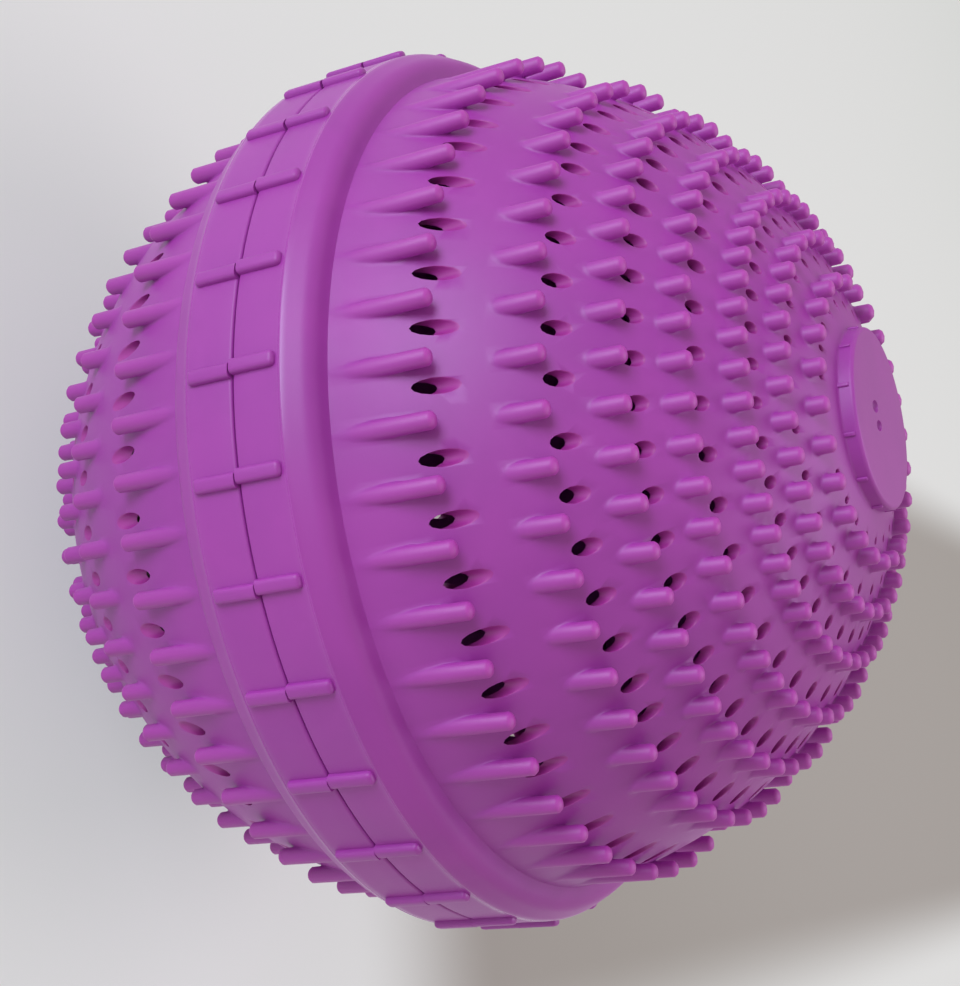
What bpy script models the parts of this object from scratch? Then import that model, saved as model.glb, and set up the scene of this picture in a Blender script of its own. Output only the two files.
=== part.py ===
import math

import bmesh
import bpy
from mathutils import Matrix, Vector

# Laundry ball of two like mouldings, a plain ring inside their seam and a charge of loose ceramic beads.
# The ball's axis is +Z. It stands on the flat face of its lower end boss at z = 0. All sizes are in metres.

# Ball, measured over the ribs of its middle band
BALL_RADIUS = 0.0500
RIB_HEIGHT = 0.0007
RIB_WIDTH = 0.0015
RIB_LENGTH = 0.0048
RIB_COUNT = 30

# Middle band of one half, from the seam to the foot of its rounded shoulder
BAND_RISE = 0.0027
BAND_FLAT = 0.0052
BAND_FOOT = 0.0083
SHOULDER_CORNER = 0.00055
SHOULDER_LEAN = math.radians(28.0)
SEAM_GAP = 0.0003
SEAM_CHAMFER = 0.00025

# Dome and end boss
WALL = 0.0011
BOSS_RADIUS = 0.0097
BOSS_RISE = 0.0006

# Pegs, all parallel to the axis, in rings from the band towards the boss
PEG_WIDTH = 0.0018
PEG_REACH = 0.0019
PEG_INSET = 0.00188
PEG_BOSS_GAP = 0.0052
PEG_COUNTS = (48, 48, 48, 48, 48, 36, 24)

# Drain holes of the widest ring, parallel to the axis and half way to the next ring of pegs
HOLE_WIDTH = 0.0015
HOLE_HEIGHT = 0.0016

# Ring that both halves slip over
RING_WALL = 0.0014
RING_FIT = 0.0003
RING_DEPTH = 0.0052
SEAT_WALL = 0.0024

# Ceramic beads, one at the bottom of the lower bowl with rings of 6 and 12 round it and three on top
BEAD_RADIUS = 0.0035
BEAD_GAP = 0.0003
BEAD_RINGS = (1, 6, 12)
TOP_BEADS = 3

# Facets round every turned shape, and steps along the curves of its section
FACETS = 48
SHOULDER_STEPS = 3
BOWL_STEPS = 4

BAND_RADIUS = BALL_RADIUS - RIB_HEIGHT
DOME_RADIUS = BAND_RADIUS - BAND_RISE
BOWL_RADIUS = DOME_RADIUS - WALL
TIP_RADIUS = DOME_RADIUS + PEG_REACH
BOSS_FACE = DOME_RADIUS + BOSS_RISE
SEAT_RADIUS = BAND_RADIUS - SEAT_WALL
FIRST_PEG_RING = DOME_RADIUS - PEG_INSET
LAST_PEG_RING = BOSS_RADIUS + PEG_BOSS_GAP
PEG_RING_STEP = (FIRST_PEG_RING - LAST_PEG_RING) / (len(PEG_COUNTS) - 1)
HOLE_RING = FIRST_PEG_RING - PEG_RING_STEP / 2

# Angle at the ball's centre between two edges of the bowl's flats, from the pole to just short of the holes
BOWL_TURN = math.asin((HOLE_RING - HOLE_HEIGHT) / BOWL_RADIUS) / BOWL_STEPS

# A quarter of a peg step puts the flats of the dome between the pegs and the holes
FLAT_TURN = math.pi / (2 * FACETS)

PURPLE = (0.413, 0.089, 0.445)
INNER_PURPLE = (0.330, 0.070, 0.370)
CERAMIC = (0.800, 0.760, 0.680)


def clear_scene():
    for old in list(bpy.data.objects):
        bpy.data.objects.remove(old, do_unlink=True)


def new_collection(name, parent):
    collection = bpy.data.collections.new(name)
    parent.children.link(collection)
    return collection


def plastic(name, color, roughness):
    material = bpy.data.materials.new(name)
    material.use_nodes = True
    shader = material.node_tree.nodes["Principled BSDF"]
    shader.inputs["Base Color"].default_value = (*color, 1.0)
    shader.inputs["Roughness"].default_value = roughness
    shader.inputs["Metallic"].default_value = 0.0
    material.diffuse_color = (*color, 1.0)
    return material


def shell_plastic(name):
    return plastic(name, PURPLE, 0.45)


def ring_plastic():
    return plastic("joining_ring_plastic", INNER_PURPLE, 0.5)


def bead_ceramic(name):
    return plastic(name, CERAMIC, 0.35)


def height_at(sphere, radius):
    # Height above the seam plane of a sphere's surface, at one distance from the axis
    return math.sqrt(sphere * sphere - radius * radius)


def radius_at(sphere, height):
    return math.sqrt(sphere * sphere - height * height)


def peg_ring_radius(ring):
    return FIRST_PEG_RING - ring * PEG_RING_STEP


def helper_object(name, mesh, collection):
    helper = bpy.data.objects.new(name, mesh)
    collection.objects.link(helper)
    helper.hide_render = True
    helper.display_type = "WIRE"
    return helper


def shoulder_points():
    # Small corner at the end of the band's flat, then an arc that leans over more and more down to the dome
    start_radius = BAND_RADIUS - SHOULDER_CORNER * (1.0 - math.cos(SHOULDER_LEAN))
    start_height = BAND_FLAT + SHOULDER_CORNER * math.sin(SHOULDER_LEAN)
    drop = start_radius - radius_at(DOME_RADIUS, BAND_FOOT)
    rise = BAND_FOOT - start_height
    bend = math.atan2(drop, rise) - SHOULDER_LEAN
    points = [(BAND_RADIUS, BAND_FLAT)]
    for step in range(SHOULDER_STEPS + 1):
        turn = bend * step / SHOULDER_STEPS
        reach = math.hypot(drop, rise) * math.sin(turn) / math.sin(bend)
        lean = SHOULDER_LEAN + turn
        points.append((start_radius - reach * math.sin(lean), start_height + reach * math.cos(lean)))
    return points


def dome_points():
    # Edges of the dome's flats run between the peg rings and the hole rings
    clear_of_peg = (PEG_RING_STEP / 2 + PEG_WIDTH / 2 - HOLE_HEIGHT / 2) / 2
    radii = [FIRST_PEG_RING - clear_of_peg]
    for ring in range(1, len(PEG_COUNTS)):
        radii.append(peg_ring_radius(ring) + clear_of_peg)
    return [(radius, height_at(DOME_RADIUS, radius)) for radius in radii]


def boss_points():
    foot = height_at(DOME_RADIUS, BOSS_RADIUS)
    return [(BOSS_RADIUS, foot), (BOSS_RADIUS, BOSS_FACE), (0.0, BOSS_FACE)]


def seam_points():
    # Seam face, then the small chamfer that makes the groove seen all round the ball
    return [
        (0.0, SEAM_GAP / 2),
        (BAND_RADIUS - SEAM_CHAMFER, SEAM_GAP / 2),
        (BAND_RADIUS, SEAM_GAP / 2 + SEAM_CHAMFER),
    ]


def outer_section():
    return seam_points() + shoulder_points() + dome_points() + boss_points()


def hollow_section():
    # Seat of the ring, the ledge that stops it, and the bowl up to the pole
    return [(0.0, -RING_FIT), (SEAT_RADIUS, -RING_FIT), (SEAT_RADIUS, RING_DEPTH)] + bowl_points()


def bowl_points():
    # Inner surface from the ledge up to the pole
    hole_top = HOLE_RING + HOLE_HEIGHT / 2
    widest_exit = (hole_top + (BOWL_RADIUS + hole_top) / 2) / 2
    points = [(radius_at(BOWL_RADIUS, RING_DEPTH), RING_DEPTH), (widest_exit, height_at(BOWL_RADIUS, widest_exit))]
    for step in reversed(range(BOWL_STEPS + 1)):
        turn = BOWL_TURN * step
        points.append((BOWL_RADIUS * math.sin(turn), BOWL_RADIUS * math.cos(turn)))
    return points


def turned_body(name, points, closed, collection):
    # Section in the XZ plane, spun round Z. Its points come from the bottom up, and the turned line runs down.
    mesh = bpy.data.meshes.new(name)
    vertices = [(radius, 0.0, height) for radius, height in reversed(points)]
    edges = [(index, index + 1) for index in range(len(points) - 1)]
    if closed:
        edges.append((len(points) - 1, 0))
    mesh.from_pydata(vertices, edges, [])
    body = helper_object(name, mesh, collection)
    screw = body.modifiers.new("turn", "SCREW")
    screw.axis = "Z"
    screw.angle = 2 * math.pi
    screw.steps = FACETS
    screw.render_steps = FACETS
    screw.use_merge_vertices = True
    screw.merge_threshold = 0.00001
    screw.use_smooth_shade = False
    return body


def around(angle):
    return Matrix.Rotation(angle, 4, "Z")


def add_box(target, angle, low, high, width):
    # Block at one angle round the axis, between two corners given as (distance from axis, height)
    size = Vector((high[0] - low[0], width, high[1] - low[1]))
    centre = Vector(((high[0] + low[0]) / 2, 0.0, (high[1] + low[1]) / 2))
    place = around(angle) @ Matrix.Translation(centre) @ Matrix.Diagonal((*size, 1.0))
    bmesh.ops.create_cube(target, size=1.0, matrix=place)


def finish_helper(name, blocks, collection):
    mesh = bpy.data.meshes.new(name)
    blocks.to_mesh(mesh)
    blocks.free()
    return helper_object(name, mesh, collection)


def peg_blocks(collection):
    # Each peg starts below the dome's surface and runs parallel to the axis to the sphere of the tips
    blocks = bmesh.new()
    half = PEG_WIDTH / 2
    for ring, count in enumerate(PEG_COUNTS):
        radius = peg_ring_radius(ring)
        root = height_at(DOME_RADIUS, radius + half) - WALL
        tip = height_at(TIP_RADIUS, radius)
        for number in range(count):
            angle = FLAT_TURN + 2 * math.pi * number / count
            add_box(blocks, angle, (radius - half, root), (radius + half, tip), PEG_WIDTH)
    return finish_helper("pegs", blocks, collection)


def rib_blocks(collection):
    blocks = bmesh.new()
    start = SEAM_GAP / 2 + SEAM_CHAMFER / 5
    for number in range(RIB_COUNT):
        angle = FLAT_TURN + 2 * math.pi * number / RIB_COUNT
        low = (BAND_RADIUS - 2 * SEAM_CHAMFER, start)
        add_box(blocks, angle, low, (BALL_RADIUS, RIB_LENGTH), RIB_WIDTH)
    return finish_helper("ribs", blocks, collection)


def hole_blocks(collection):
    # One hole between each two pegs, from outside the dome through into the bowl
    blocks = bmesh.new()
    half = HOLE_HEIGHT / 2
    low = (HOLE_RING - half, height_at(BOWL_RADIUS, HOLE_RING + half) - WALL)
    high = (HOLE_RING + half, height_at(TIP_RADIUS, HOLE_RING - half))
    for number in range(PEG_COUNTS[0]):
        angle = FLAT_TURN + 2 * math.pi * (number + 0.5) / PEG_COUNTS[0]
        add_box(blocks, angle, low, high, HOLE_WIDTH)
    return finish_helper("holes", blocks, collection)


def add_boolean(target, name, tool, operation):
    cut = target.modifiers.new(name, "BOOLEAN")
    cut.operation = operation
    cut.solver = "EXACT"
    cut.object = tool


def moulded_half(helpers):
    # One half in its own place: seam at z = 0, boss upwards. The hollow is cut last, so that no peg reaches into it.
    body = turned_body("outer_section", outer_section(), False, helpers)
    add_boolean(body, "pegs", peg_blocks(helpers), "UNION")
    add_boolean(body, "ribs", rib_blocks(helpers), "UNION")
    add_boolean(body, "hollow", turned_body("hollow_section", hollow_section(), False, helpers), "DIFFERENCE")
    add_boolean(body, "holes", hole_blocks(helpers), "DIFFERENCE")
    return settled_mesh(body, "moulded_half")


def settled_mesh(body, name):
    bpy.context.view_layer.update()
    settled = body.evaluated_get(bpy.context.evaluated_depsgraph_get())
    mesh = bpy.data.meshes.new_from_object(settled)
    mesh.name = name
    return mesh


def place_piece(name, mesh, material, collection, location, rotation):
    mesh.materials.clear()
    mesh.materials.append(material)
    piece = bpy.data.objects.new(name, mesh)
    collection.objects.link(piece)
    piece.location = location
    piece.rotation_euler = rotation
    return piece


def smooth_round(mesh, limit_degrees):
    mesh.shade_smooth()
    mesh.set_sharp_from_angle(angle=math.radians(limit_degrees))


def add_shells(collection, helpers):
    # The two halves are one moulding: the lower one is turned over and meets the upper at the seam
    half = moulded_half(helpers)
    smooth_round(half, 30.0)
    seam = (0.0, 0.0, BOSS_FACE)
    upper = place_piece("upper_shell", half.copy(), shell_plastic("upper_shell_plastic"), collection,
                        seam, (0.0, 0.0, -FLAT_TURN))
    lower = place_piece("lower_shell", half, shell_plastic("lower_shell_plastic"), collection,
                        seam, (math.pi, 0.0, FLAT_TURN))
    return upper, lower


def add_joining_ring(collection, helpers):
    outer = SEAT_RADIUS - RING_FIT
    inner = outer - RING_WALL
    reach = RING_DEPTH - RING_FIT
    section = [
        (outer, -reach),
        (outer, reach),
        (inner, reach),
        (inner, -reach),
    ]
    mesh = settled_mesh(turned_body("ring_section", section, True, helpers), "joining_ring")
    smooth_round(mesh, 30.0)
    place_piece("joining_ring", mesh, ring_plastic(), collection, (0.0, 0.0, BOSS_FACE), (0.0, 0.0, 0.0))


def bead_places():
    # Directions fan out from the bottom of the bowl, measured from the ball's centre
    flat_of_bowl = BOWL_RADIUS * math.cos(math.pi / FACETS) * math.cos(BOWL_TURN / 2)
    reach = flat_of_bowl - BEAD_GAP - BEAD_RADIUS
    spacing = 2 * BEAD_RADIUS + BEAD_GAP
    lean_step = 2 * math.asin(spacing / (2 * reach))
    places = []
    lean = 0.0
    for ring, count in enumerate(BEAD_RINGS):
        if ring:
            widest = math.asin(min(1.0, spacing / (2 * reach * math.sin(math.pi / count))))
            lean = max(lean + lean_step, widest)
        for number in range(count):
            turn = 2 * math.pi * number / count
            places.append(Vector((math.sin(lean) * math.cos(turn), math.sin(lean) * math.sin(turn),
                                  -math.cos(lean))) * reach)
    return places + top_bead_places(places, spacing, reach - spacing)


def top_bead_places(resting, spacing, least_reach):
    # Each top bead sits in a hollow between the beads below, dropped until it almost touches them
    places = []
    lean = math.asin(spacing / (2 * math.sin(math.pi / TOP_BEADS)) / least_reach)
    first_turn = math.pi / BEAD_RINGS[1]
    for number in range(TOP_BEADS):
        turn = first_turn + 2 * math.pi * number / TOP_BEADS
        way = Vector((math.sin(lean) * math.cos(turn), math.sin(lean) * math.sin(turn), -math.cos(lean)))
        stops = []
        for bead in resting:
            along = way.dot(bead)
            left = spacing * spacing - bead.length_squared + along * along
            if left > 0.0:
                stops.append(along - math.sqrt(left))
        places.append(way * min(stops))
    return places


def bead_mesh():
    bpy.ops.mesh.primitive_ico_sphere_add(subdivisions=2, radius=BEAD_RADIUS)
    ball = bpy.context.object
    mesh = ball.data
    bpy.data.objects.remove(ball)
    mesh.name = "bead"
    mesh.shade_smooth()
    return mesh


def add_beads(collection):
    template = bead_mesh()
    for number, place in enumerate(bead_places(), start=1):
        name = f"bead_{number:02d}"
        location = (place.x, place.y, place.z + BOSS_FACE)
        place_piece(name, template.copy(), bead_ceramic(name + "_ceramic"), collection, location, (0.0, 0.0, 0.0))


def build():
    clear_scene()
    ball = new_collection("laundry_ball", bpy.context.scene.collection)
    helpers = new_collection("cutters", bpy.context.scene.collection)
    add_shells(ball, helpers)
    add_joining_ring(ball, helpers)
    add_beads(ball)


build()
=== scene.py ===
import math

import bmesh
import bpy
from mathutils import Matrix, Vector, noise


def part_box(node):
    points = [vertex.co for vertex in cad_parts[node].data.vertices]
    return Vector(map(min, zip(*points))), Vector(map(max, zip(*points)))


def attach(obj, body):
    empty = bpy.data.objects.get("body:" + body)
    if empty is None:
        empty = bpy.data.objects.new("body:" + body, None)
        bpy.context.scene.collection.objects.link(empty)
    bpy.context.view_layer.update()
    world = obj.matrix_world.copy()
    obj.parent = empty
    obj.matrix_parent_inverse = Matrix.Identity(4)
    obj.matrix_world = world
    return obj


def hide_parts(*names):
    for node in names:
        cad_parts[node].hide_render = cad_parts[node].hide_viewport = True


# Dressed laundry ball: two like mouldings set with pegs and drain holes, the ring in their seam, and the
# ceramic beads. Sizes are in metres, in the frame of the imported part: axis +Z, the ball standing on its lower
# boss at z = 0.

# Ball and middle band, in the half's own frame: seam at z = 0, boss upwards. The band is flat up to BAND_FLAT.
# Its shoulder then bends from the first lean to the second, and a short skirt meets the dome at BAND_FOOT
SEAM_HEIGHT = 0.0472
BAND_RADIUS = 0.0493
BAND_FLAT = 0.0052
BAND_FOOT = 0.0083
SHOULDER_CORNER = 0.00055
SHOULDER_LEANS = (math.radians(28.0), math.radians(78.0))
SHOULDER_SKIRT = 0.0011
SEAM_GAP = 0.00012
SEAM_ROUND = 0.00030
LOWER_TWIST = math.radians(0.35)
DOME_RADIUS = 0.0466
WALL = 0.0010
CREASE_ROUND = 0.00022
SEAT_RADIUS = 0.0469
SEAT_CORNER = 0.0004
RING_DEPTH = 0.0052
BOSS_RADIUS = 0.0097
BOSS_ROUND = 0.00045

# Small bend between dome and boss: how far off the boss it starts, then its corners as (distance off, height)
BEND_REACH = 0.00025
BEND_CORNERS = ((0.00004, 0.00006), (0.0, 0.00018))

# Further corners of the wall's line, on the seat, the flat of the band and the face of the boss, then on the
# slope and the skirt of the shoulder, as shares of their lengths, and in the crease, as shares of its round
SEAT_ROW = 0.0026
BAND_ROWS = (0.0020, 0.0044)
BOSS_ROWS = (0.0066, 0.0033, 0.0)
SLOPE_ROWS = (0.15, 0.5, 0.85)
SKIRT_ROWS = (0.4, 0.8)
CREASE_CORNER = (0.10, 0.15)

# Steps round the turned half and along the arcs of its wall, and how close corners on the axis are one
TURN_STEPS = 192
BOWL_STEPS = 30
DOME_STEPS = 34
SHOULDER_STEPS = 9
BOSS_STEPS = 7
CORNER_STEPS = 4
AXIS_MERGE = 0.000002

# Least heights of the spheres of dome and bowl, for corners that lie outside them
DOME_LEAST = 0.001
BOWL_LEAST = 0.006

# How close the corners of a finished half have to lie to be drawn together, and the edges that show as crisp
WELD_REACH = 0.000001
CRISP_ANGLE = math.radians(48)

# Ribs across the band
RIB_COUNT = 30
RIB_HALF_WIDTH = 0.00075
RIB_START = SEAM_GAP / 2 + 0.00002
RIB_SUNK = 0.0005
RIB_TOP = 0.04998
RIB_LENGTH = 0.00485
RIB_ROUND = 0.00045

# Small ribs up the side of the boss: how deep they sit in it and in the dome, how far they stand out, and how
# far they stop below its face
BOSS_RIB_COUNT = 12
BOSS_RIB_HALF_WIDTH = 0.00022
BOSS_RIB_SUNK = (0.0004, 0.0003)
BOSS_RIB_OUT = 0.00020
BOSS_RIB_DROP = 0.0005
BOSS_RIB_ROUND = 0.00009

# Dimples in the boss's face: place and half length of each, then breadth against length, half depth, how far
# their middles lie above the face, and how they are turned
DIMPLES = ((0.0021, 0.0007, 0.00115), (0.0003, 0.0017, 0.00100))
DIMPLE_BREADTH = 0.6
DIMPLE_HALF_DEPTH = 0.0008
DIMPLE_RISE = 0.0002
DIMPLE_TURN = math.radians(54.0)

# Pegs parallel to the axis: distance of each ring from the axis, and pegs in it. Their tips touch a sphere, a
# smaller one on the lower half, and their ends are rounded to a depth given against half their width
PEG_RINGS = (
    (0.04476, 48),
    (0.03982, 48),
    (0.03500, 48),
    (0.03010, 48),
    (0.02480, 48),
    (0.01990, 36),
    (0.01495, 24),
)
PEG_HALF_WIDTH = 0.00092
TIP_RADIUS = 0.0485
LOWER_TIP_RADIUS = 0.0481
PEG_END_DEPTH = 0.72
PEG_SIDES = 14

# Drain holes parallel to the axis: distance of each ring, holes in it, share of a step that it is turned by,
# how much further round every second run of six holes sits, and size against the largest. The drills go
# HOLE_THROUGH past the wall
GROUP_SHIFT = math.radians(1.4)
HOLE_RINGS = (
    (0.0429, 48, 0.395, GROUP_SHIFT, 1.0),
    (0.0374, 48, 0.395, GROUP_SHIFT, 1.0),
    (0.0327, 48, -0.05, 0.0, 1.0),
    (0.0277, 36, 0.49, 0.0, 0.95),
    (0.0221, 36, 0.47, 0.0, 0.80),
    (0.0176, 24, 0.5, 0.0, 0.60),
    (0.01265, 24, 0.0, 0.0, 0.45),
)
HOLES_IN_RUN = 6
HOLE_HALF_WIDTH = 0.00076
HOLE_HALF_LENGTH = 0.00087
HOLE_THROUGH = 0.0012
HOLE_SIDES = 14

# Pegs and the drills of the holes are pillars with rings of corners one above the other. For each ring: how
# much wider it is than the pillar, how far off the moulded surface it lies, and 1 where it is free of that
# surface
PEG_SPREADS = (-0.00010, 0.00024, 0.00008, 0.0, -0.00003, -0.00026)
PEG_LIFTS = (-0.0006, -0.00003, 0.00005, 0.0002, 0.0, 0.0)
PEG_FREE = (0.0, 0.0, 0.0, 0.0, 1.0, 1.0)
HOLE_SPREADS = (0.0, 0.0, 0.0, 0.00001, 0.00005, 0.00030)
HOLE_LIFTS = (0.0, -0.0004, -0.00018, -0.00006, -0.000005, 0.0004)
HOLE_FREE = (1.0, 0.0, 0.0, 0.0, 0.0, 0.0)

# Joining ring: its wall, the round of its edges, and steps round it
RING_WALL = 0.0014
RING_EDGE = 0.0003
RING_STEPS = 160

# Beads: how deep and how fine their dents are, how far the dents move on from bead to bead, and how far each
# bead is turned against the one before
BEAD_DENT = 0.012
BEAD_DENT_SCALE = 260.0
BEAD_DENT_SHIFT = 7.3
BEAD_TURN = 1.7

# Plastic: plain colour, darker flow marks and paler peg tips, partly wear and partly a painted glow and
# highlight of light in the thin tips, then the walls of the drain holes, painted redder for the glow of light
# coming through the thin plastic, and the dust on it
PURPLE = (0.405, 0.0415, 0.414, 1.0)
PURPLE_FLOW = (0.365, 0.035, 0.382, 1.0)
PURPLE_TIP = (0.52, 0.060, 0.474, 1.0)
RING_PURPLE = (0.330, 0.045, 0.330, 1.0)
RING_FLOW = (0.300, 0.038, 0.300, 1.0)
PAINTED_BORE_GLOW = (0.40, 0.028, 0.33, 1.0)
DUST_COLOUR = (0.62, 0.52, 0.62, 1.0)
PLASTIC_ROUGHNESS = 0.50
PLASTIC_GLOSS_TINT = (0.80, 0.95, 1.0, 1.0)
PLASTIC_SCATTER = (1.0, 0.25, 0.9)

# How the plastic varies: range of the flow marks, rings of corners between which a peg's tip pales (partly
# wear, partly a painted glow and highlight) and how far it does, what grain and rubbing do to the roughness,
# and how broad the rubbed corners of the band are
FLOW_RANGE = (0.35, 0.65)
TIP_WEAR_AND_PAINTED_GLOW_RANGE = (2.5, 5.0)
TIP_WEAR_AND_PAINTED_GLOW_MOST = 0.8
GRAIN_ROUGHENS = 0.12
POLISH_SMOOTHS = 0.26
POLISH_WIDTH = 0.0007

# Fired clay: the two creams of its body, then its specks with their range and strength
CLAY_CREAMS = ((0.62, 0.55, 0.45, 1.0), (0.78, 0.73, 0.64, 1.0))
CLAY_SPECK = (0.33, 0.24, 0.17, 1.0)
SPECK_RANGE = (0.16, 0.1)
SPECK_STRENGTH = 0.6

# Camera at the photograph's place
CAMERA_PLACE = (0.1089, 0.1485, 0.1394)
CAMERA_RIGHT = (-0.4015, -0.2544, 0.8798)
CAMERA_UP = (0.7468, -0.6471, 0.1537)
CAMERA_LENS = 66.38

# Light: two large soft lamps, each given as direction, power and tint, how far off they stand, and the pale
# room round them
LAMPS = (
    ("front", (0.940, 0.215, 0.200), 5.0, (0.92, 0.95, 1.10)),
    ("top", (-0.402, -0.254, 0.880), 2.1, (1.0, 0.80, 1.05)),
)
LAMP_REACH = 0.9
LAMP_SIZE = 0.6
SKY_LIGHT = (0.50, 0.50, 0.425, 1.0)
SKY_SEEN = (0.72, 0.725, 0.72, 1.0)

# Floor: the two tones that light meets, its tone in the painted shadow of the ball, how much paler it shows
# elsewhere, which way the painted shadow lies, its middle line off the axis, where its soft edges run and where
# it starts, and the patch in front of the front lamp, painted darker to hold down that lamp's pool of light
FLOOR_REACH = 3.0
FLOOR_PAINT = ((0.70, 0.705, 0.70, 1.0), (0.74, 0.745, 0.74, 1.0))
FLOOR_TONE = (0.464, 0.453, 0.430, 1.0)
FLOOR_LIFT = 0.378
FLOOR_GLOW = (0.93, 1.0, 1.04, 1.0)
SHADE_WAY = (-0.7547, -0.6561)
SHADE_MIDDLE = -0.007
SHADE_EDGES = (0.081, 0.055)
SHADE_START = (0.040, 0.085)
LAMP_FOOT = (0.846, 0.194, 0.0)
LAMP_PATCH = (0.80, 0.20)
LAMP_DULLS = 0.85
LAMP_FRONT = (0.885, 0.865)
BLACK = (0.0, 0.0, 0.0, 1.0)


class Wiring:
    """Adds nodes to one tree and feeds their sockets."""

    def __init__(self, tree):
        self.tree = tree

    def feed(self, socket, value):
        """Gives a socket a plain value, a link from another socket, or a list of such links."""
        if isinstance(value, list):
            for source in value:
                self.tree.links.new(source, socket)
        elif isinstance(value, bpy.types.NodeSocket):
            self.tree.links.new(value, socket)
        else:
            socket.default_value = value

    def add(self, kind, feeds=None, **settings):
        """New node with its settings made and its sockets fed, by name or by number."""
        node = self.tree.nodes.new(kind)
        for name, value in settings.items():
            setattr(node, name, value)
        for key, value in (feeds or {}).items():
            self.feed(node.inputs[key], value)
        return node

    def calc(self, operation, *values, clamp=False):
        """One step of arithmetic."""
        node = self.add("ShaderNodeMath", dict(enumerate(values)), operation=operation, use_clamp=clamp)
        return node.outputs[0]

    def vector(self, x=0.0, y=0.0, z=0.0):
        """Vector put together from its parts."""
        return self.add("ShaderNodeCombineXYZ", {0: x, 1: y, 2: z}).outputs[0]

    def parts(self, vector):
        """X, Y and Z of a vector."""
        return self.add("ShaderNodeSeparateXYZ", {0: vector}).outputs

    def fade(self, value, start, end, top=1.0, smooth=False):
        """0 at the start of a range and the top value at its end, held there on either side."""
        feeds = {"Value": value, "From Min": start, "From Max": end, "To Max": top}
        node = self.add("ShaderNodeMapRange", feeds, interpolation_type="SMOOTHSTEP" if smooth else "LINEAR")
        return node.outputs[0]

    def clouds(self, place, scale, detail, roughness=0.5, distortion=0.0):
        """Soft noise between 0 and 1."""
        node = self.add("ShaderNodeTexNoise", {"Vector": place, "Scale": scale, "Detail": detail,
                                               "Roughness": roughness, "Distortion": distortion})
        return node.outputs[0]

    def mix(self, factor, first, second):
        """Colour between two others."""
        node = self.add("ShaderNodeMix", {0: factor, 6: first, 7: second}, data_type="RGBA")
        return node.outputs[2]

    def by_level(self, level, values):
        """One value for each ring of corners along a pillar."""
        node = self.add("GeometryNodeIndexSwitch", data_type="FLOAT")
        while len(node.index_switch_items) < len(values):
            node.index_switch_items.new()
        self.feed(node.inputs[0], level)
        for socket, value in zip(node.inputs[1:], values):
            socket.default_value = value
        return node.outputs[0]

    def mark(self, geometry, name, value, domain="POINT"):
        """Stores a number under a name on each point or face."""
        feeds = {"Geometry": geometry, "Name": name, "Value": value}
        node = self.add("GeometryNodeStoreNamedAttribute", feeds, data_type="FLOAT", domain=domain)
        return node.outputs[0]

    def marked(self, name):
        """Number that mark has stored."""
        return self.add("GeometryNodeInputNamedAttribute", {"Name": name}, data_type="FLOAT").outputs[0]

    def step_turn(self, number, count):
        """Angle of one of a number of equal steps round the axis."""
        return self.calc("MULTIPLY", number, self.calc("DIVIDE", 2 * math.pi, count))

    def ring_of(self, piece, count, turn, place=(0.0, 0.0, 0.0)):
        """Copies of a piece, each at its own place and turned by its own angle."""
        points = self.add("GeometryNodePoints", {"Count": count, "Position": place}).outputs[0]
        ring = self.add("GeometryNodeInstanceOnPoints", {"Points": points, "Instance": piece,
                                                         "Rotation": self.vector(z=turn)}).outputs[0]
        return self.add("GeometryNodeRealizeInstances", {0: ring}).outputs[0]


def new_group(kind, name, inputs, outputs):
    """Node group whose sockets are given as (name, type, default value)."""
    tree = bpy.data.node_groups.new(name, kind)
    for direction, sockets in (("INPUT", inputs), ("OUTPUT", outputs)):
        for socket_name, socket_type, value in sockets:
            socket = tree.interface.new_socket(socket_name, in_out=direction,
                                               socket_type="NodeSocket" + socket_type)
            if value is not None:
                socket.default_value = value
    wiring = Wiring(tree)
    source = wiring.add("NodeGroupInput")
    target = wiring.add("NodeGroupOutput")
    return wiring, source.outputs, target.inputs


def new_object(name, data):
    """Puts an object in the scene."""
    made = bpy.data.objects.new(name, data)
    bpy.context.scene.collection.objects.link(made)
    return made


def mesh_from(name, shape):
    """Mesh of a finished shape. The shape itself goes."""
    mesh = bpy.data.meshes.new(name)
    shape.to_mesh(mesh)
    shape.free()
    return mesh


def crease_radius():
    """Distance from the axis of the crease between shoulder and dome."""
    return math.sqrt(DOME_RADIUS ** 2 - BAND_FOOT ** 2)


def boss_foot():
    """Height at which the side of the boss meets the dome."""
    return math.sqrt(DOME_RADIUS ** 2 - BOSS_RADIUS ** 2)


def surface_group():
    """Height of the outer surface above the seam at a point's distance from the axis, and its steepness."""
    inputs = (
        ("Dome Radius", "Float", DOME_RADIUS),
        ("Bowl Radius", "Float", DOME_RADIUS - WALL),
    )
    outputs = (("Height", "Float", None), ("Steepness", "Float", None), ("Bowl Height", "Float", None))
    wiring, given, made = new_group("GeometryNodeTree", "moulded_surface", inputs, outputs)
    calc = wiring.calc
    spot = wiring.parts(wiring.add("GeometryNodeInputPosition").outputs[0])
    square = calc("ADD", calc("MULTIPLY", spot[0], spot[0]), calc("MULTIPLY", spot[1], spot[1]))
    distance = calc("SQRT", square)

    def sphere(radius, least):
        under_root = calc("SUBTRACT", calc("MULTIPLY", radius, radius), square)
        return calc("SQRT", calc("MAXIMUM", under_root, least * least))

    dome = sphere(given["Dome Radius"], DOME_LEAST)
    skirt = -1.0 / math.tan(SHOULDER_LEANS[1])
    shoulder = calc("MULTIPLY_ADD", distance, skirt, BAND_FOOT - skirt * crease_radius())
    height = calc("MAXIMUM", dome, calc("MINIMUM", shoulder, BAND_FOOT))
    wiring.feed(made["Height"], height)
    wiring.feed(made["Steepness"], calc("DIVIDE", given["Dome Radius"], height))
    wiring.feed(made["Bowl Height"], sphere(given["Bowl Radius"], BOWL_LEAST))
    return wiring.tree


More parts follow.
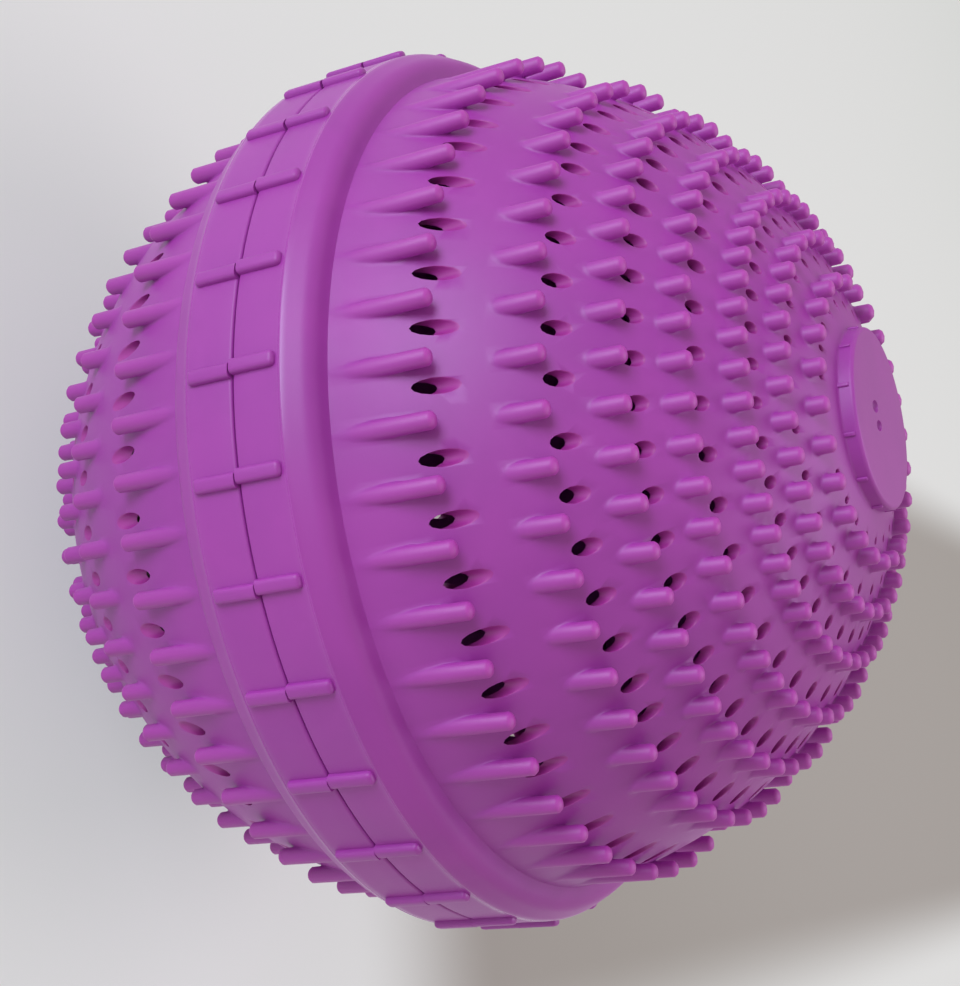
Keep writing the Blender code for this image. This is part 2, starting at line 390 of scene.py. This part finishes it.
def pillar_group(name, surface, spreads, lifts, free_levels, free_height):
    """Ring of pillars parallel to the axis. Some of their rings of corners lie along the moulded surface."""
    inputs = (
        ("Count", "Int", 48),
        ("Ring Radius", "Float", 0.04),
        ("Turn", "Float", 0.0),
        ("Half Length", "Float", 0.001),
        ("Half Width", "Float", 0.001),
        ("Sides", "Int", PEG_SIDES),
        ("Tip Sphere", "Float", TIP_RADIUS),
        ("Run Shift", "Float", 0.0),
        ("Bore", "Float", 0.0),
    )
    wiring, given, made = new_group("GeometryNodeTree", name, inputs, (("Geometry", "Geometry", None),))
    calc, add, vector = wiring.calc, wiring.add, wiring.vector
    levels = len(spreads) - 1
    pillar = add("GeometryNodeMeshCylinder", {"Vertices": given["Sides"], "Side Segments": levels,
                                              "Fill Segments": 1, "Radius": 1.0, "Depth": 1.0},
                 fill_type="TRIANGLE_FAN")
    local = wiring.parts(add("GeometryNodeInputPosition").outputs[0])
    level = calc("ROUND", calc("MULTIPLY", calc("ADD", local[2], 0.5), float(levels)))
    spread = wiring.by_level(level, spreads)
    long_side = calc("MULTIPLY", local[0], calc("ADD", given["Half Length"], spread))
    wide_side = calc("MULTIPLY", local[1], calc("ADD", given["Half Width"], spread))
    from_middle = add("ShaderNodeVectorMath", {0: vector(long_side, wide_side)}, operation="LENGTH")
    share = calc("DIVIDE", from_middle.outputs["Value"], given["Half Width"])
    numbered = wiring.mark(wiring.mark(pillar.outputs["Mesh"], "share", share), "level", level)
    shaped = add("GeometryNodeSetPosition", {"Geometry": numbered,
                                             "Position": vector(long_side, wide_side, local[2])})
    number = add("GeometryNodeInputIndex").outputs[0]
    run = calc("FLOOR", calc("DIVIDE", number, float(HOLES_IN_RUN)))
    shifted = calc("MULTIPLY", calc("MODULO", run, 2.0), given["Run Shift"])
    turn = calc("ADD", wiring.step_turn(number, given["Count"]), calc("ADD", given["Turn"], shifted))
    across = calc("MULTIPLY", calc("COSINE", turn), given["Ring Radius"])
    over = calc("MULTIPLY", calc("SINE", turn), given["Ring Radius"])
    ring = wiring.ring_of(shaped.outputs[0], given["Count"], turn, vector(across, over))
    level = wiring.marked("level")
    heights = add("GeometryNodeGroup", node_tree=surface).outputs
    hugging = calc("MULTIPLY_ADD", wiring.by_level(level, lifts), heights["Steepness"], heights["Height"])
    free = wiring.by_level(level, free_levels)
    standing = calc("MULTIPLY", free_height(wiring, given, heights, wiring.marked("share")), free)
    height = calc("ADD", standing, calc("MULTIPLY", hugging, calc("SUBTRACT", 1.0, free)))
    spot = wiring.parts(add("GeometryNodeInputPosition").outputs[0])
    seated = add("GeometryNodeSetPosition", {"Geometry": ring, "Position": vector(spot[0], spot[1], height)})
    # Mark for paler peg tips: partly wear, partly a painted glow and highlight of light in the thin tips
    wear = calc("MULTIPLY", level, calc("SUBTRACT", 1.0, given["Bore"]))
    tip_marked = wiring.mark(seated.outputs[0], "wear", wear)
    wiring.feed(made["Geometry"], wiring.mark(tip_marked, "bore", given["Bore"], "FACE"))
    return wiring.tree


def peg_top(wiring, given, _heights, share):
    """Rounded peg end just under the sphere that all the tips touch."""
    calc = wiring.calc
    sphere = calc("MULTIPLY", given["Tip Sphere"], given["Tip Sphere"])
    tip = calc("SQRT", calc("SUBTRACT", sphere, calc("MULTIPLY", given["Ring Radius"], given["Ring Radius"])))
    inside = calc("SQRT", calc("SUBTRACT", 1.0, calc("MULTIPLY", share, share), clamp=True))
    depth = calc("MULTIPLY", given["Half Width"], PEG_END_DEPTH)
    return calc("SUBTRACT", tip, calc("MULTIPLY", calc("SUBTRACT", 1.0, inside), depth))


def hole_bottom(wiring, _given, heights, _share):
    """Just below the inner wall."""
    return wiring.calc("SUBTRACT", heights["Bowl Height"], HOLE_THROUGH)


def moulded_half_group(surface):
    """Adds pegs and ribs to the turned shell, then drills the drain holes."""
    inputs = (
        ("Geometry", "Geometry", None),
        ("Peg Half Width", "Float", PEG_HALF_WIDTH),
        ("Tip Sphere", "Float", TIP_RADIUS),
        ("Hole Half Width", "Float", HOLE_HALF_WIDTH),
        ("Hole Half Length", "Float", HOLE_HALF_LENGTH),
        ("Rib Count", "Int", RIB_COUNT),
        ("Rib", "Object", None),
        ("Boss Rib Count", "Int", BOSS_RIB_COUNT),
        ("Boss Rib", "Object", None),
        ("Dimples", "Object", None),
        ("Plastic", "Material", None),
    )
    outputs = (("Geometry", "Geometry", None),)
    wiring, given, made = new_group("GeometryNodeTree", "moulded_half", inputs, outputs)
    add, calc = wiring.add, wiring.calc
    pegs = pillar_group("peg_ring", surface, PEG_SPREADS, PEG_LIFTS, PEG_FREE, peg_top)
    holes = pillar_group("hole_ring", surface, HOLE_SPREADS, HOLE_LIFTS, HOLE_FREE, hole_bottom)
    added = []
    for radius, count in PEG_RINGS:
        ring = add("GeometryNodeGroup", {"Count": count, "Ring Radius": radius, "Sides": PEG_SIDES,
                                         "Half Length": given["Peg Half Width"],
                                         "Half Width": given["Peg Half Width"],
                                         "Tip Sphere": given["Tip Sphere"]}, node_tree=pegs)
        added.append(ring.outputs[0])
    for name in ("Rib", "Boss Rib"):
        count = given[name + " Count"]
        turn = wiring.step_turn(add("GeometryNodeInputIndex").outputs[0], count)
        one = add("GeometryNodeObjectInfo", {"Object": given[name]}).outputs["Geometry"]
        added.append(wiring.ring_of(one, count, turn))
    cut = [add("GeometryNodeObjectInfo", {"Object": given["Dimples"]}).outputs["Geometry"]]
    for radius, count, share, shift, size in HOLE_RINGS:
        ring = add("GeometryNodeGroup", {"Count": count, "Ring Radius": radius, "Sides": HOLE_SIDES,
                                         "Turn": 2 * math.pi * share / count, "Run Shift": shift, "Bore": 1.0,
                                         "Half Length": calc("MULTIPLY", given["Hole Half Length"], size),
                                         "Half Width": calc("MULTIPLY", given["Hole Half Width"], size)},
                   node_tree=holes)
        cut.append(ring.outputs[0])
    whole = add("GeometryNodeMeshBoolean", {1: [given["Geometry"]] + added}, operation="UNION",
                solver="MANIFOLD")
    drilled = add("GeometryNodeMeshBoolean", {0: whole.outputs[0], 1: cut}, operation="DIFFERENCE",
                  solver="MANIFOLD")
    smooth = add("GeometryNodeSetShadeSmooth", {"Geometry": drilled.outputs[0], "Shade Smooth": True},
                 domain="FACE")
    angle = add("GeometryNodeInputMeshEdgeAngle").outputs["Unsigned Angle"]
    sharp = add("FunctionNodeCompare", {0: angle, 1: CRISP_ANGLE}, data_type="FLOAT",
                operation="GREATER_THAN")
    crisp = add("GeometryNodeSetShadeSmooth", {"Geometry": smooth.outputs[0], "Shade Smooth": False,
                                               "Selection": sharp.outputs[0]}, domain="EDGE")
    real = add("GeometryNodeRealizeInstances", {0: crisp.outputs[0]})
    dressed = add("GeometryNodeSetMaterial", {"Geometry": real.outputs[0], "Material": given["Plastic"]})
    wiring.feed(made["Geometry"], dressed.outputs[0])
    return wiring.tree


def arc(centre, radius, start, end, steps):
    """Points on a circle in the section plane, from one angle to another, in degrees above +X."""
    points = []
    for step in range(steps + 1):
        turn = math.radians(start + (end - start) * step / steps)
        points.append((centre[0] + radius * math.cos(turn), centre[1] + radius * math.sin(turn)))
    return points


def shoulder_points():
    """Small corner, slope, bend and short skirt from the flat of the band down to the crease."""
    first, last = SHOULDER_LEANS
    drop = BAND_RADIUS - crease_radius() - SHOULDER_CORNER * (1.0 - math.cos(first))
    drop -= SHOULDER_SKIRT * math.sin(last)
    rise = BAND_FOOT - BAND_FLAT - SHOULDER_CORNER * math.sin(first) - SHOULDER_SKIRT * math.cos(last)
    across, along = math.cos(first) - math.cos(last), math.sin(last) - math.sin(first)
    slope = (drop * along - rise * across) / (math.sin(first) * along - math.cos(first) * across)
    bend = (drop - slope * math.sin(first)) / across
    corner = (BAND_RADIUS - SHOULDER_CORNER, BAND_FLAT)
    points = arc(corner, SHOULDER_CORNER, 0.0, math.degrees(first), CORNER_STEPS)
    radius, height = points[-1]
    for share in SLOPE_ROWS:
        points.append((radius - share * slope * math.sin(first), height + share * slope * math.cos(first)))
    radius, height = radius - slope * math.sin(first), height + slope * math.cos(first)
    middle = (radius - bend * math.cos(first), height - bend * math.sin(first))
    points += arc(middle, bend, math.degrees(first), math.degrees(last), SHOULDER_STEPS)
    radius, height = points[-1]
    for share in SKIRT_ROWS:
        skirt = share * SHOULDER_SKIRT
        points.append((radius - skirt * math.sin(last), height + skirt * math.cos(last)))
    off, up = CREASE_CORNER
    points.append((crease_radius() + off * CREASE_ROUND, BAND_FOOT + up * CREASE_ROUND))
    return points


def half_section():
    """Line of the wall from the inside of the pole round the seam to the face of the boss."""
    bowl = DOME_RADIUS - WALL
    seam = SEAM_GAP / 2
    points = arc((0.0, 0.0), bowl, 90.0, math.degrees(math.asin(RING_DEPTH / bowl)), BOWL_STEPS)
    points += [(SEAT_RADIUS - SEAT_CORNER, RING_DEPTH), (SEAT_RADIUS, RING_DEPTH - SEAT_CORNER)]
    points += [(SEAT_RADIUS, SEAT_ROW), (SEAT_RADIUS, seam), (BAND_RADIUS - 2 * SEAM_ROUND, seam)]
    points += arc((BAND_RADIUS - SEAM_ROUND, seam + SEAM_ROUND), SEAM_ROUND, -90.0, 0.0, CORNER_STEPS)
    points += [(BAND_RADIUS, height) for height in BAND_ROWS]
    points += shoulder_points()
    start = math.degrees(math.asin((BAND_FOOT + CREASE_ROUND) / DOME_RADIUS))
    end = math.degrees(math.acos((BOSS_RADIUS + BEND_REACH) / DOME_RADIUS))
    points += arc((0.0, 0.0), DOME_RADIUS, start, end, DOME_STEPS)
    points += [(BOSS_RADIUS + off, boss_foot() + height) for off, height in BEND_CORNERS]
    points += arc((BOSS_RADIUS - BOSS_ROUND, SEAM_HEIGHT - BOSS_ROUND), BOSS_ROUND, 0.0, 90.0, BOSS_STEPS)
    points += [(radius, SEAM_HEIGHT) for radius in BOSS_ROWS]
    return points


def turned(name, points, closed, steps):
    """Line in the section plane turned about the axis. Laid out backwards, it turns its faces outwards."""
    mesh = bpy.data.meshes.new(name)
    rows = [(radius, 0.0, height) for radius, height in reversed(points)]
    edges = [(index, index + 1) for index in range(len(rows) - 1)]
    if closed:
        edges.append((len(rows) - 1, 0))
    mesh.from_pydata(rows, edges, [])
    body = new_object(name, mesh)
    screw = body.modifiers.new("turn", "SCREW")
    screw.axis = "Z"
    screw.angle = 2 * math.pi
    screw.steps = screw.render_steps = steps
    screw.use_merge_vertices = True
    screw.merge_threshold = AXIS_MERGE
    return body


def settled(body):
    """Plain mesh of a body with its modifiers worked in. The body itself goes."""
    bpy.context.view_layer.update()
    mesh = bpy.data.meshes.new_from_object(body.evaluated_get(bpy.context.evaluated_depsgraph_get()))
    bpy.data.objects.remove(body)
    return mesh


def weld(mesh):
    """Draws together the corners that joining and drilling leave less than a micron apart."""
    shape = bmesh.new()
    shape.from_mesh(mesh)
    bmesh.ops.remove_doubles(shape, verts=shape.verts, dist=WELD_REACH)
    shape.to_mesh(mesh)
    shape.free()


def bar(name, low, high, half_width, rounding, segments):
    """Bar across the band or along the boss, with its outer edges rounded. Corners are (distance, height)."""
    shape = bmesh.new()
    size = Vector((high[0] - low[0], 2 * half_width, high[1] - low[1]))
    centre = Vector(((high[0] + low[0]) / 2, 0.0, (high[1] + low[1]) / 2))
    bmesh.ops.create_cube(shape, size=1.0, matrix=Matrix.Translation(centre) @ Matrix.Diagonal((*size, 1.0)))

    def outside(edge):
        ends = [vertex.co for vertex in edge.verts]
        return all(end.x > centre.x for end in ends) and any(end.z > centre.z for end in ends)

    def along_top(edge):
        ends = [vertex.co for vertex in edge.verts]
        return all(end.z > centre.z for end in ends) and abs(ends[0].x - ends[1].x) > size.x / 2

    outer = [edge for edge in shape.edges if outside(edge)]
    outer += [edge for edge in shape.edges if along_top(edge)]
    bmesh.ops.bevel(shape, geom=outer, offset=rounding, segments=segments, profile=0.5, affect="EDGES")
    return new_object(name, mesh_from(name, shape))


def dimples():
    """Two small moulding marks near the middle of the boss's face."""
    shape = bmesh.new()
    for across, over, length in DIMPLES:
        place = Matrix.Translation((across, over, SEAM_HEIGHT + DIMPLE_RISE))
        place = place @ Matrix.Rotation(DIMPLE_TURN, 4, "Z")
        stretch = Matrix.Diagonal((length, DIMPLE_BREADTH * length, DIMPLE_HALF_DEPTH, 1.0))
        bmesh.ops.create_uvsphere(shape, u_segments=20, v_segments=12, radius=1.0, matrix=place @ stretch)
    return new_object("dimples", mesh_from("dimples", shape))


def moulded_half(tree, plastic, tip_radius):
    """High detail mesh of one half in its own frame."""
    rib_low, rib_high = (BAND_RADIUS - RIB_SUNK, RIB_START), (RIB_TOP, RIB_LENGTH)
    rib = bar("rib", rib_low, rib_high, RIB_HALF_WIDTH, RIB_ROUND, segments=3)
    boss_low = (BOSS_RADIUS - BOSS_RIB_SUNK[0], boss_foot() - BOSS_RIB_SUNK[1])
    boss_high = (BOSS_RADIUS + BOSS_RIB_OUT, SEAM_HEIGHT - BOSS_RIB_DROP)
    boss_rib = bar("boss_rib", boss_low, boss_high, BOSS_RIB_HALF_WIDTH, BOSS_RIB_ROUND, segments=2)
    marks = dimples()
    body = turned("half", half_section(), False, TURN_STEPS)
    details = body.modifiers.new("details", "NODES")
    details.node_group = tree
    sockets = {item.name: item.identifier for item in tree.interface.items_tree if item.in_out == "INPUT"}
    for name, value in (("Rib", rib), ("Boss Rib", boss_rib), ("Dimples", marks), ("Plastic", plastic),
                        ("Tip Sphere", tip_radius)):
        details[sockets[name]] = value
    mesh = settled(body)
    for old in (rib, boss_rib, marks):
        bpy.data.objects.remove(old)
    for name in ("share", "level"):
        mesh.attributes.remove(mesh.attributes[name])
    weld(mesh)
    return mesh


def add_piece(name, mesh, material, body, slot, *replaced):
    """Puts a finished piece in the scene, on its body, in place of the solids that it dresses."""
    mesh.name = name
    mesh.materials.clear()
    mesh.materials.append(material)
    piece = new_object(name, mesh)
    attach(piece, body)
    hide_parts(*replaced)


def add_halves():
    """Both halves. The lower one is the same moulding upside down, turned a little and with shorter pegs."""
    plastic = moulded_plastic("purple_plastic", PURPLE, PURPLE_FLOW, PURPLE_TIP, 0.0)
    tree = moulded_half_group(surface_group())
    upper = moulded_half(tree, plastic, TIP_RADIUS)
    lower = moulded_half(tree, plastic, LOWER_TIP_RADIUS)
    upper.transform(Matrix.Translation((0.0, 0.0, SEAM_HEIGHT)))
    twist = Matrix.Rotation(LOWER_TWIST, 4, "Z")
    lower.transform(Matrix.Translation((0.0, 0.0, SEAM_HEIGHT)) @ twist @ Matrix.Rotation(math.pi, 4, "X"))
    add_piece("upper_moulding", upper, plastic, "upper_half", "purple_plastic", "upper_shell")
    add_piece("lower_moulding", lower, plastic, "lower_half", "purple_plastic", "lower_shell")


def add_ring():
    """Plain ring inside the seam, with rounded edges."""
    low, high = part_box("joining_ring")
    reach = (high.z - low.z) / 2
    outside, inside, end = high.x - RING_EDGE, high.x - RING_WALL + RING_EDGE, reach - RING_EDGE
    points = []
    for centre, start in (((outside, -end), -90.0), ((outside, end), 0.0),
                          ((inside, end), 90.0), ((inside, -end), 180.0)):
        points += arc(centre, RING_EDGE, start, start + 90.0, CORNER_STEPS)
    mesh = settled(turned("ring", points, True, RING_STEPS))
    mesh.shade_smooth()
    mesh.transform(Matrix.Translation((0.0, 0.0, (low.z + high.z) / 2)))
    plastic = moulded_plastic("ring_plastic", RING_PURPLE, RING_FLOW, RING_PURPLE, 0.2)
    add_piece("joining_band", mesh, plastic, "ring", "ring_plastic", "joining_ring")


def add_beads():
    """Fired clay beads, each a little out of round."""
    clay = bead_ceramic("bead_ceramic")
    nodes = sorted(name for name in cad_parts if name.startswith("bead_"))
    for number, node in enumerate(nodes):
        low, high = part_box(node)
        shape = bmesh.new()
        bmesh.ops.create_uvsphere(shape, u_segments=28, v_segments=18, radius=max(high - low) / 2)
        for vertex in shape.verts:
            bump = noise.noise(vertex.co * BEAD_DENT_SCALE + Vector((number * BEAD_DENT_SHIFT, 0.0, 0.0)))
            vertex.co *= 1.0 - BEAD_DENT * (1.0 + bump)
        mesh = mesh_from(node, shape)
        mesh.shade_smooth()
        turn = Matrix.Rotation(BEAD_TURN * number, 4, Vector((1.0, 0.6 * number % 1.3, 0.4)))
        mesh.transform(Matrix.Translation((low + high) / 2) @ turn)
        add_piece("clay_" + node, mesh, clay, "lower_half", "ceramic", node)


def new_material(name, **settings):
    """Material with plain values on its shader, and the wiring to add what varies."""
    material = bpy.data.materials.new(name)
    material.use_nodes = True
    shader = material.node_tree.nodes["Principled BSDF"]
    for socket, value in settings.items():
        shader.inputs[socket.replace("_", " ")].default_value = value
    return material, Wiring(material.node_tree), shader


def grain_group():
    """Fine satin grain and soft flow marks of moulded plastic."""
    inputs = (("Vector", "Vector", None), ("Grain Scale", "Float", 2600.0), ("Flow Scale", "Float", 60.0))
    outputs = (("Height", "Float", None), ("Shade", "Float", None))
    wiring, given, made = new_group("ShaderNodeTree", "moulded_grain", inputs, outputs)
    fine = wiring.clouds(given["Vector"], given["Grain Scale"], 3.0, 0.6)
    flow = wiring.clouds(given["Vector"], given["Flow Scale"], 4.0, 0.55, 0.6)
    height = wiring.calc("MULTIPLY_ADD", fine, 0.5, wiring.calc("MULTIPLY", flow, 0.5))
    wiring.feed(made["Height"], height)
    wiring.feed(made["Shade"], flow)
    return wiring.tree


def dust_group():
    """Lint and powder that settle where a surface faces up, broken up by noise."""
    inputs = (("Vector", "Vector", None), ("Amount", "Float", 0.2), ("Scale", "Float", 500.0))
    wiring, given, made = new_group("ShaderNodeTree", "settled_dust", inputs, (("Mask", "Float", None),))
    specks = wiring.fade(wiring.clouds(given["Vector"], given["Scale"], 5.0, 0.7), 0.55, 0.75)
    normal = wiring.add("ShaderNodeNewGeometry").outputs["Normal"]
    upward = wiring.fade(wiring.parts(normal)[2], -0.2, 1.0)
    mask = wiring.calc("MULTIPLY", wiring.calc("MULTIPLY", specks, upward), given["Amount"], clamp=True)
    wiring.feed(made["Mask"], mask)
    return wiring.tree


def polish_group():
    """The two corners of the band, rubbed smoother in use than the plastic round them."""
    inputs = (
        ("Vector", "Vector", None),
        ("Corner Height", "Float", BAND_FLAT),
        ("Width", "Float", POLISH_WIDTH),
    )
    wiring, given, made = new_group("ShaderNodeTree", "rubbed_corner", inputs, (("Mask", "Float", None),))
    height = wiring.parts(given["Vector"])[2]
    from_seam = wiring.calc("ABSOLUTE", wiring.calc("SUBTRACT", height, SEAM_HEIGHT))
    off = wiring.calc("ABSOLUTE", wiring.calc("SUBTRACT", from_seam, given["Corner Height"]))
    mask = wiring.calc("SUBTRACT", 1.0, wiring.calc("DIVIDE", off, given["Width"]), clamp=True)
    wiring.feed(made["Mask"], mask)
    return wiring.tree


def moulded_plastic(name, colour, flow, tip, dust):
    """Satin moulded plastic: grain, flow marks, paler peg tips (partly wear, partly a painted glow of light),
    hole walls painted redder for light coming through, rubbed corners and a trace of dust.
    """
    material, wiring, shader = new_material(name, Specular_IOR_Level=0.74, Specular_Tint=PLASTIC_GLOSS_TINT,
                                            Subsurface_Weight=0.15, Subsurface_Scale=0.0010,
                                            Subsurface_Radius=PLASTIC_SCATTER)
    place = wiring.add("ShaderNodeTexCoord").outputs["Object"]
    grain = wiring.add("ShaderNodeGroup", {"Vector": place}, node_tree=GROUPS["grain"]).outputs
    dusty = wiring.add("ShaderNodeGroup", {"Vector": place, "Amount": dust}, node_tree=GROUPS["dust"]).outputs
    polished = wiring.add("ShaderNodeGroup", {"Vector": place}, node_tree=GROUPS["polish"]).outputs
    level = wiring.add("ShaderNodeAttribute", attribute_name="wear").outputs["Fac"]
    bore = wiring.add("ShaderNodeAttribute", attribute_name="bore").outputs["Fac"]
    base = wiring.mix(wiring.fade(grain["Shade"], *FLOW_RANGE), flow, colour)
    # Paler peg tips: partly wear, partly a painted glow and highlight of light in the thin tips
    base = wiring.mix(wiring.fade(level, *TIP_WEAR_AND_PAINTED_GLOW_RANGE, top=TIP_WEAR_AND_PAINTED_GLOW_MOST), base, tip)
    # Hole walls painted redder: a painted glow of light coming through the thin plastic
    base = wiring.mix(bore, base, PAINTED_BORE_GLOW)
    base = wiring.mix(dusty["Mask"], base, DUST_COLOUR)
    wiring.feed(shader.inputs["Base Color"], base)
    least = PLASTIC_ROUGHNESS - GRAIN_ROUGHENS / 2
    rough = wiring.calc("MULTIPLY_ADD", grain["Height"], GRAIN_ROUGHENS, least)
    rough = wiring.calc("MULTIPLY_ADD", polished["Mask"], -POLISH_SMOOTHS, rough)
    wiring.feed(shader.inputs["Roughness"], rough)
    bump = wiring.add("ShaderNodeBump", {"Strength": 0.25, "Distance": 0.00004, "Height": grain["Height"]})
    wiring.feed(shader.inputs["Normal"], bump.outputs[0])
    return material


def bead_ceramic(name):
    """Fired clay: cream body with darker specks and a rough, lightly sintered skin."""
    material, wiring, shader = new_material(name, Specular_IOR_Level=0.45)
    place = wiring.add("ShaderNodeTexCoord").outputs["Object"]
    cloud = wiring.clouds(place, 420.0, 4.0)
    cells = wiring.add("ShaderNodeTexVoronoi", {"Vector": place, "Scale": 1400.0})
    specks = wiring.calc("MULTIPLY", wiring.fade(cells.outputs["Distance"], *SPECK_RANGE), SPECK_STRENGTH)
    base = wiring.mix(specks, wiring.mix(cloud, *CLAY_CREAMS), CLAY_SPECK)
    wiring.feed(shader.inputs["Base Color"], base)
    wiring.feed(shader.inputs["Roughness"], wiring.calc("MULTIPLY_ADD", cloud, 0.2, 0.42))
    bump = wiring.add("ShaderNodeBump", {"Strength": 0.4, "Distance": 0.0001, "Height": cloud})
    wiring.feed(shader.inputs["Normal"], bump.outputs[0])
    return material


def add_camera():
    """Camera that looks at the ball as the photograph does."""
    right, up = Vector(CAMERA_RIGHT).normalized(), Vector(CAMERA_UP)
    back = right.cross(up).normalized()
    turn = Matrix((right, back.cross(right), back)).transposed().to_4x4()
    camera = new_object("camera", bpy.data.cameras.new("camera"))
    camera.matrix_world = Matrix.Translation(CAMERA_PLACE) @ turn
    camera.data.sensor_fit = "HORIZONTAL"
    camera.data.sensor_width = 36.0
    camera.data.lens = CAMERA_LENS
    camera.data.clip_start = 0.005
    camera.data.clip_end = 20.0
    bpy.context.scene.camera = camera


def painted_ball_shadow(wiring, place):
    """1 in the painted long shadow of the ball on the floor, 0 outside it."""
    calc = wiring.calc
    x, y, _height = wiring.parts(place)
    along = calc("ADD", calc("MULTIPLY", x, SHADE_WAY[0]), calc("MULTIPLY", y, SHADE_WAY[1]))
    aside = calc("SUBTRACT", calc("MULTIPLY", y, SHADE_WAY[0]), calc("MULTIPLY", x, SHADE_WAY[1]))
    off = calc("ABSOLUTE", calc("SUBTRACT", aside, SHADE_MIDDLE))
    across = wiring.fade(off, *SHADE_EDGES, smooth=True)
    behind = wiring.fade(along, *SHADE_START, smooth=True)
    return calc("MULTIPLY", behind, across)


def painted_lamp_dimming(wiring, place):
    """Patch of the floor in front of the front lamp's foot, painted duller to hold down that lamp's pool of
    light.
    """
    way = Vector(LAMP_FOOT).normalized()
    reach = wiring.add("ShaderNodeVectorMath", {0: place, 1: LAMP_FOOT}, operation="DISTANCE")
    ahead = wiring.add("ShaderNodeVectorMath", {0: place, 1: way}, operation="DOT_PRODUCT")
    under_lamp = wiring.fade(reach.outputs["Value"], *LAMP_PATCH, top=LAMP_DULLS, smooth=True)
    return wiring.calc("MULTIPLY", under_lamp, wiring.fade(ahead.outputs["Value"], *LAMP_FRONT))


def add_floor():
    """Large pale floor under the lower boss."""
    shape = bmesh.new()
    bmesh.ops.create_grid(shape, x_segments=8, y_segments=8, size=FLOOR_REACH)
    floor = new_object("floor", mesh_from("floor", shape))
    material, wiring, shader = new_material("floor_paint", Roughness=0.8, Specular_IOR_Level=0.2,
                                            Emission_Color=FLOOR_GLOW)
    calc = wiring.calc
    place = wiring.add("ShaderNodeTexCoord").outputs["Object"]
    rays = wiring.add("ShaderNodeLightPath").outputs
    paint = wiring.mix(wiring.clouds(place, 14.0, 3.0), *FLOOR_PAINT)
    patch = painted_lamp_dimming(wiring, place)
    # Floor tone that the camera sees, painted darker towards black before the front lamp to hold down its pool
    # of light
    tone = wiring.mix(patch, FLOOR_TONE, BLACK)
    wiring.feed(shader.inputs["Base Color"], wiring.mix(rays["Is Camera Ray"], paint, tone))
    # Camera and mirror rays see the floor lifted paler, except in the painted shadow of the ball and the
    # painted dimming before the front lamp
    open_floor = calc("SUBTRACT", 1.0, calc("MAXIMUM", painted_ball_shadow(wiring, place), patch))
    mirrored = calc("MAXIMUM", rays["Is Glossy Ray"], rays["Is Transmission Ray"])
    seen = calc("MAXIMUM", rays["Is Camera Ray"], mirrored)
    lift = calc("MULTIPLY", open_floor, FLOOR_LIFT)
    wiring.feed(shader.inputs["Emission Strength"], calc("MULTIPLY", seen, lift))
    floor.data.materials.append(material)


def add_lamp(name, place, power, tint):
    """Soft round lamp that faces the middle of the ball."""
    lamp = bpy.data.lights.new(name, "AREA")
    lamp.shape = "DISK"
    lamp.size = LAMP_SIZE
    lamp.energy = power
    lamp.color = tint
    made = new_object(name, lamp)
    made.location = place
    made.rotation_mode = "QUATERNION"
    made.rotation_quaternion = (place - Vector((0.0, 0.0, SEAM_HEIGHT))).to_track_quat("Z", "Y")


def add_light():
    """Pale room, seen paler than it lights, and the two soft lamps."""
    world = bpy.data.worlds.new("studio")
    world.use_nodes = True
    wiring = Wiring(world.node_tree)
    camera_ray = wiring.add("ShaderNodeLightPath").outputs["Is Camera Ray"]
    sky = world.node_tree.nodes["Background"]
    wiring.feed(sky.inputs["Color"], wiring.mix(camera_ray, SKY_LIGHT, SKY_SEEN))
    bpy.context.scene.world = world
    for name, way, power, tint in LAMPS:
        add_lamp(name, Vector(way).normalized() * LAMP_REACH, power, tint)
    bpy.context.scene.view_settings.view_transform = "Standard"


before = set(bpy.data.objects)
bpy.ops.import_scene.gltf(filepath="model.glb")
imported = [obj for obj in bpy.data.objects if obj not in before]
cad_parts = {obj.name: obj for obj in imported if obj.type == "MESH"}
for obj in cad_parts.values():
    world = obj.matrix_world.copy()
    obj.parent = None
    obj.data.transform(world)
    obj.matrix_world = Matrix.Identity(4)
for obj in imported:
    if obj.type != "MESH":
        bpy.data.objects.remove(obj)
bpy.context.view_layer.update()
GROUPS = {"grain": grain_group(), "dust": dust_group(), "polish": polish_group()}
add_camera()
add_halves()
add_ring()
add_beads()
add_floor()
add_light()
